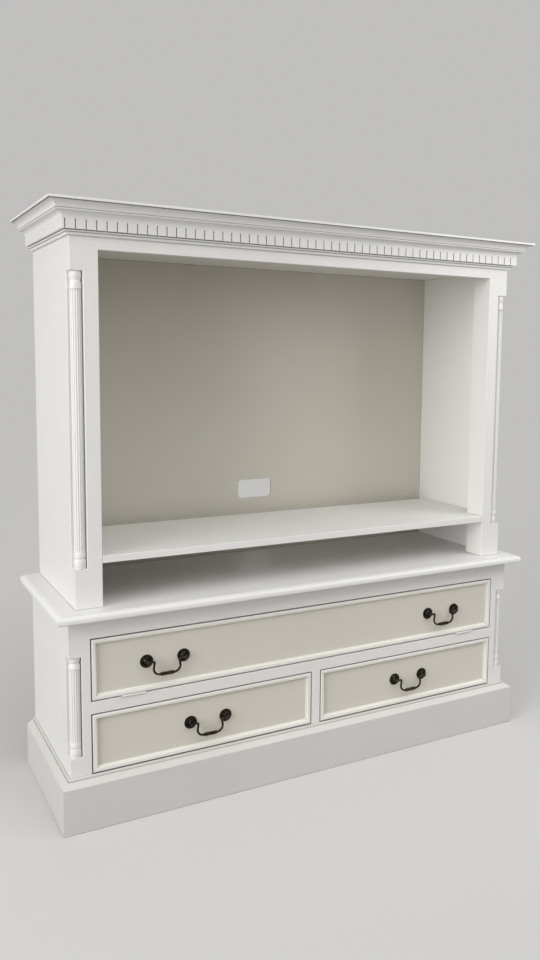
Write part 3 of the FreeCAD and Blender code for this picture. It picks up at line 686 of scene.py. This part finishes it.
def column(x, depth, heights, foot_bulb, foot_ring, cap_cup, cap_drum):
    """One fluted column: a bulb and a ring at the foot, a cup and a drum at the head."""
    z0, z1 = heights
    widest, neck, groove = column_radius, neck_radius, column_groove

    def ring(z, height, radius):
        """A round ring that stands out from the shaft to a radius."""
        return [((shaft_radius, z + 0.2),),
                ((radius, z + height / 2), (shaft_radius, z + height - 0.2)),
                ((shaft_radius - 0.2, z + height),)]

    start = (widest - 0.5, z0)
    z = z0 + column_end
    moves = [((widest, z0 + 0.5),), ((widest, z - 0.4),), ((widest - 0.4, z),)]
    moves += ring(z, foot_bulb, widest)
    z += foot_bulb
    moves += [((neck, z + 0.4), (neck, z + groove - 0.4)), ((shaft_radius - 0.2, z + groove),)]
    z += groove
    moves += ring(z, foot_ring, widest - 0.4)
    foot = outline(start, moves, steps=8)
    flute_low = z + foot_ring
    cup_low = z1 - column_end - cap_drum - groove - cap_cup
    z = cup_low + cap_cup
    moves = [((widest - 0.4, cup_low),), ((widest, cup_low + 0.5),)]
    moves += [((widest - 0.7, cup_low + 0.55 * cap_cup), (neck, z))]
    z += groove
    moves += [((neck - 0.5, z - groove / 2), (neck, z))]
    moves += [((widest - 0.6, z + 0.45 * cap_drum), (widest - 0.2, z1 - 2.4))]
    moves += [((widest - 0.7, z1 - 2),), ((widest, z1 - 1.6),)]
    moves += [((widest, z1 - 0.5),), ((widest - 0.5, z1),)]
    head = outline((shaft_radius - 0.2, cup_low), moves, steps=8)

    angles = [(math.radians(360 * (k + 0.5) / flute_count + t), math.radians(t))
              for k in range(flute_count) for t in flute_turns]
    low, high = flute_low + 1.5, cup_low - 0.6
    span = high - low - 2 * flute_radius
    levels = [flute_low + 0.7] + [low + step for step in flute_end_steps]
    levels += [low + flute_radius + span * n / flute_rows for n in range(1, flute_rows)]
    levels += [high - step for step in reversed(flute_end_steps)] + [cup_low - 0.2]
    shaft = [(z, min(z - low, high - z)) for z in levels]

    def spot(radius, angle, height):
        return (x + radius * math.cos(angle), row_y(depth) + radius * math.sin(angle), height)

    rows = [[spot(r, a, h) for a, t in angles] for r, h in foot]
    rows += [[spot(flute_cut(shaft_radius, t, end), a, h) for a, t in angles] for h, end in shaft]
    rows += [[spot(r, a, h) for a, t in angles] for r, h in head]
    return loops(rows, caps=True)


for name, node, half, front, heights, sizes in (
        ("base_column", "base_columns", base_half, base_depth, base_notch, base_column_parts),
        ("hutch_column", "hutch_columns", hutch_half, hutch_depth, hutch_notch, hutch_column_parts)):
    shape = column(-half + notch + column_let_in - column_radius, front - notch / 2, heights, *sizes)
    for side in ("left", "right"):
        weighted(made(f"{name}_{side}", *shape, white_upright, "case", [node], "white_paint",
                      sharp=40, mirror=side == "right"))


# Fronts: panels and their raised moulding

def framed(profile, x0, x1, z0, z1):
    """A profile of (inward, height) carried round a rectangle on the fronts' face."""
    rows = []
    for sx, sz, cx, cz in ((1, 1, x0, z0), (-1, 1, x1, z0), (-1, -1, x1, z1), (1, -1, x0, z1)):
        rows.append([(cx + sx * u, row_y(face_depth + v), cz + sz * u) for u, v in profile])
    return loops(rows, closed_rows=True)


bead = outline((0.0, -0.6), [
    ((0, bead_height - 2.6),),
    turn(2.6, bead_height - 2.6, 2.6, 180, 98),
    ((5.6, bead_height), (9.2, bead_height - 0.5)),
    turn(8.9, bead_height - 2.5, 2.0, 80, 0),
    ((10.9, 3.2),),
    ((11.4, 2.8),),
    ((13.0, 2.2), (bead_width - 0.2, 0.9)),
    ((bead_width, 0.0),),
    ((bead_width, -0.6),),
], steps=8)


def front(name, limits, body, board_node, bead_node):
    """A front board with its moulding."""
    x0, x1, z0, z1 = limits
    shell = cells([x0, x1], [face_depth - panel_thickness, face_depth], [z0, z1],
                  lambda *spot: True)
    softened(made(name + "_board", *shell, greige_level, body, [board_node], "greige_paint"),
             front_arris)
    weighted(made(name + "_bead", *framed(bead, x0, x1, z0, z1), cream_level, body, [bead_node],
                  "cream_paint", sharp=42))


flap_limits = (-base_opening + front_gap, base_opening - front_gap, flap_low + front_gap,
               flap_high - flap_top_gap)
drawer_limits = (-base_opening + front_gap, -muntin_half - front_gap, drawer_low + front_gap,
                 drawer_high - front_gap)
front("flap", flap_limits, "flap", "flap_panel", "flap_moulding")
front("drawer_left", drawer_limits, "drawer_left", "drawer_left_front", "drawer_left_moulding")
front("drawer_right", (-drawer_limits[1], -drawer_limits[0], *drawer_limits[2:]), "drawer_right",
      "drawer_right_front", "drawer_right_moulding")


# Handles

def rosette(x, z):
    """One ringed rosette with a row of beads, its post and the ball at its end."""
    origin_y = row_y(face_depth)

    def place(radius, angle, out):
        return (x + radius * math.cos(angle), origin_y - out, z + radius * math.sin(angle))

    radius = rosette_radius
    profile = outline((radius, -0.3), [
        ((radius, 1.2),),
        turn(radius - 1.1, 1.2, 1.1, 0, 90),
        ((radius - 2.1, 1.7),),
        ((radius - 2.6, 1.4),),
        ((radius - 5.6, 1.4),),
        ((radius - 6.0, 1.8),),
        turn(radius - 7.0, 2.1, 1.1, 20, 160),
        ((8.7, 1.9),),
        ((8.2, 2.4),),
        ((6.4, 3.6), (4.3, 6.8)),
        ((post_radius, 8.2),),
        ((post_radius, 9.4),),
        ((4.6, 9.8),),
        ((4.8, 10.4),),
        ((4.3, 11.0),),
        turn(0, handle_out, ball_radius, -43, 90),
    ])
    plate = lathed(profile, place, rosette_sides)
    beads = []
    for n in range(bead_count):
        angle = 2 * math.pi * n / bead_count
        bx, bz = x + bead_ring * math.cos(angle), z + bead_ring * math.sin(angle)
        rows = []
        for latitude in bead_latitudes:
            r = bead_radius * math.cos(math.radians(latitude))
            out = bead_foot + bead_rise * math.sin(math.radians(latitude))
            turns = [2 * math.pi * t / bead_sides for t in range(bead_sides)]
            rows.append([(bx + r * math.cos(t), origin_y - out, bz + r * math.sin(t))
                         for t in turns])
        beads.append(loops(rows, caps=True))
    return joined(plate, *beads)


def bail_line():
    """Half of the bail's line, from its end to its grip, as (across, up), and where the grip starts."""
    bend, upper, turned = bail_bend, bail_neck, bail_neck_turn
    lean = math.radians(turned)
    neck_x = handle_span - bail_neck_in - bend
    lean_x = neck_x + upper * (1 - math.cos(lean))
    lean_z = -bend - upper * math.sin(lean)
    corner_z = bail_corner - bail_drop + bail_corner * math.sin(lean)
    corner_x = lean_x + (lean_z - corner_z) * math.tan(lean)
    grip_x = corner_x - bail_corner * math.cos(lean)
    half = outline((handle_span + bail_end_out, 0), [
        ((neck_x + bend, 0),),
        turn(neck_x + bend, -bend, bend, 90, 180),
        turn(neck_x + upper, -bend, upper, 180, 180 + turned),
        ((corner_x, corner_z),),
        turn(grip_x, bail_corner - bail_drop, bail_corner, turned, -90),
    ], steps=10)
    return half, grip_x


def grip_radius(across, grip_x):
    """Radius of the wire at a place on the grip: two long swellings and a ringed middle."""
    a = abs(across)
    if a > grip_x:
        return bail_radius
    if a < grip_middle:
        wave = math.cos(math.pi * a / grip_middle * grip_ripple_waves)
        return grip_middle_radius + grip_ripple * wave * (1 - a / grip_ripple_fade)
    inward = min(1.0, (grip_x - a) / (grip_x - grip_swelling_end))
    turned = math.pi * grip_swelling_turn * inward ** grip_swelling_power
    return bail_radius + grip_swelling * math.sin(turned)


def bail(x, z):
    """The bail as a round wire of changing thickness."""
    half, grip_x = bail_line()
    middle = [(grip_x - 2 * grip_x * n / grip_steps, -bail_drop) for n in range(1, grip_steps)]
    line = [Vector(p) for p in half + middle] + [Vector((-a, b)) for a, b in reversed(half)]
    rows = []
    for n, here in enumerate(line):
        after = line[min(n + 1, len(line) - 1)]
        before = line[max(n - 1, 0)]
        ahead = (after - before).normalized()
        side = Vector((-ahead.y, ahead.x))
        radius = grip_radius(here.x, grip_x) if here.y <= -bail_drop + 0.01 else bail_radius
        if here.y > -0.01 and collar_from < abs(here.x) < collar_to:
            radius = collar_radius
        ring = []
        for k in range(bail_sides):
            angle = 2 * math.pi * k / bail_sides
            across = here + side * (radius * math.cos(angle))
            ring.append((x + across.x, row_y(face_depth + handle_out) - radius * math.sin(angle),
                         z + across.y))
        rows.append(ring)
    return loops(rows, caps=True)


for name, (x, z), body, posts, bails in (
        ("flap", flap_handle, "flap", "flap_handle_posts", "flap_bail_{}"),
        ("drawer", drawer_handle, "drawer_{}", "drawer_{}_handle_posts", "drawer_{}_bail")):
    for side, centre in (("left", -x), ("right", x)):
        shape = joined(rosette(centre - handle_span, z), rosette(centre + handle_span, z))
        weighted(made(f"{name}_{side}_rosettes", *shape, bronze, body.format(side),
                      [posts.format(side)], "dark_bronze", sharp=50))
        wire = bails.format(side)
        made(f"{name}_{side}_bail_wire", *bail(centre, z), bronze, wire, [wire], "dark_bronze",
             sharp=60)


# CAD nodes that stay: their finishes, and rounded edges on the boards

def keep(names, material, arris=0.0):
    """Gives CAD nodes a finish, and rounds their edges where an arris is given."""
    for name in names:
        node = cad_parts[name]
        node.data.materials.clear()
        node.data.materials.append(material)
        if arris:
            weld = node.modifiers.new("weld", "WELD")
            weld.merge_threshold = 1e-5
            softened(node, arris)


keep(["hutch_back_panel", "base_back_panel"], back_paint)
keep(["cornice_cover_board"], white_level)
keep(["bottom_board", "compartment_floor", "drawer_partition", "stay_blocks", "hutch_top_board"],
     inner_paint)
keep(["shelf_cleats"], white_level, cleat_arris)
keep(["plinth_bearers"], wood_x)
keep(["runner_packers", "drawer_runners"], wood_y)
keep(["drawer_left_sides", "drawer_right_sides"], wood_y)
keep(["drawer_left_back", "drawer_left_bottom", "drawer_right_back", "drawer_right_bottom"], wood_x)
keep(["flap_hinge_case_leaves", "flap_hinge_flap_leaves"], hinge_paint)
keep(["flap_hinge_pins", "stay_pegs", "flap_stay_brackets", "flap_stay_left", "flap_stay_right",
      "flap_catch_plates"], steel)
keep(["flap_catches"], plastic)


# Floor, light and camera

def seen_directly(tree):
    """One where a surface is looked at, also in a mirror or through glass, and zero elsewhere."""
    path = tree.nodes.new("ShaderNodeLightPath")
    total = path.outputs["Is Camera Ray"]
    for other in ("Is Glossy Ray", "Is Transmission Ray"):
        most = tree.nodes.new("ShaderNodeMath")
        most.operation = "MAXIMUM"
        tree.links.new(total, most.inputs[0])
        tree.links.new(path.outputs[other], most.inputs[1])
        total = most.outputs[0]
    return total


def floor_finish(pale, giving):
    """A plain matt floor that looks pale and throws little light back up."""
    material, tree, surface = shader("floor", roughness=0.9, specular=0.1)
    mixed = tree.nodes.new("ShaderNodeMix")
    mixed.data_type = "RGBA"
    mixed.inputs["A"].default_value = (*giving, 1)
    mixed.inputs["B"].default_value = (*pale, 1)
    tree.links.new(seen_directly(tree), mixed.inputs["Factor"])
    tree.links.new(mixed.outputs["Result"], surface.inputs["Base Color"])
    return material


floor_angles = [2 * math.pi * n / floor_sides for n in range(floor_sides)]
floor_mesh = bpy.data.meshes.new("floor")
floor_mesh.from_pydata([(floor_radius * math.cos(a), floor_radius * math.sin(a), -floor_drop)
                        for a in floor_angles], [], [tuple(range(floor_sides))])
floor_mesh.materials.append(floor_finish(floor_pale, floor_giving))
floor = bpy.data.objects.new("floor", floor_mesh)
scene.collection.objects.link(floor)

world = bpy.data.worlds.new("room")
scene.world = world
world.use_nodes = True
tree = world.node_tree
tree.nodes.clear()
output = tree.nodes.new("ShaderNodeOutputWorld")
mix = tree.nodes.new("ShaderNodeMixShader")
around = tree.nodes.new("ShaderNodeBackground")
seen = tree.nodes.new("ShaderNodeBackground")
around.inputs["Color"].default_value = (*room_light, 1)
around.inputs["Strength"].default_value = room_strength
seen.inputs["Color"].default_value = (*room_seen, 1)
seen.inputs["Strength"].default_value = 1.0
tree.links.new(seen_directly(tree), mix.inputs["Fac"])
tree.links.new(around.outputs[0], mix.inputs[1])
tree.links.new(seen.outputs[0], mix.inputs[2])
tree.links.new(mix.outputs[0], output.inputs["Surface"])


def placed(light, place, back):
    """An object for a light at a place, shining away from the direction back."""
    ob = bpy.data.objects.new(light.name, light)
    ob.location = place
    ob.rotation_mode = "QUATERNION"
    ob.rotation_quaternion = Vector(back).to_track_quat("Z", "Y")
    scene.collection.objects.link(ob)


def soft_sun(name, source, strength, spread, colour=(1, 1, 1)):
    """Even soft light from the direction of source, spread over an angle in degrees."""
    light = bpy.data.lights.new(name, "SUN")
    light.energy = strength * math.pi
    light.angle = math.radians(spread)
    light.color = colour
    placed(light, (0, 0, 0), source)


def soft_panel(name, place, aim, watts, size):
    """A square panel of light that stands near the unit."""
    light = bpy.data.lights.new(name, "AREA")
    light.energy = watts
    light.size = size
    placed(light, place, Vector(place) - Vector(aim))


soft_sun("window", source=(-0.92, -0.34, 0.18), strength=0.54, spread=40, colour=(1.0, 0.995, 0.99))
soft_sun("ceiling", source=(0.0, -0.30, 0.95), strength=0.43, spread=70)
soft_sun("room_fill", source=(0.30, -0.92, 0.20), strength=0.12, spread=80)
soft_panel("left_panel", place=(-2.6, -1.1, 1.3), aim=(0, 0.2, 1.1), watts=14, size=1.6)
soft_panel("lamp_right", place=(1.5, -1.3, 1.9), aim=(0.5, 0, 1.45), watts=9.5, size=0.8)

yaw, pitch, roll = camera_yaw, camera_pitch, camera_roll
ahead = Vector((math.sin(yaw) * math.cos(pitch), math.cos(yaw) * math.cos(pitch), math.sin(pitch)))
right = Vector((math.cos(yaw), -math.sin(yaw), 0))
up = right.cross(ahead)
right, up = (right * math.cos(roll) + up * math.sin(roll),
             up * math.cos(roll) - right * math.sin(roll))
camera = bpy.data.objects.new("camera", bpy.data.cameras.new("camera"))
camera.data.lens = camera_lens
camera.data.sensor_width = camera_sensor
camera.data.shift_x, camera.data.shift_y = camera_shift
camera.matrix_world = Matrix.Translation(camera_place) @ Matrix(
    [[right[n], up[n], -ahead[n]] for n in range(3)]).to_4x4()
scene.collection.objects.link(camera)
scene.camera = camera

scene.view_settings.view_transform = "Standard"

bpy.context.view_layer.update()
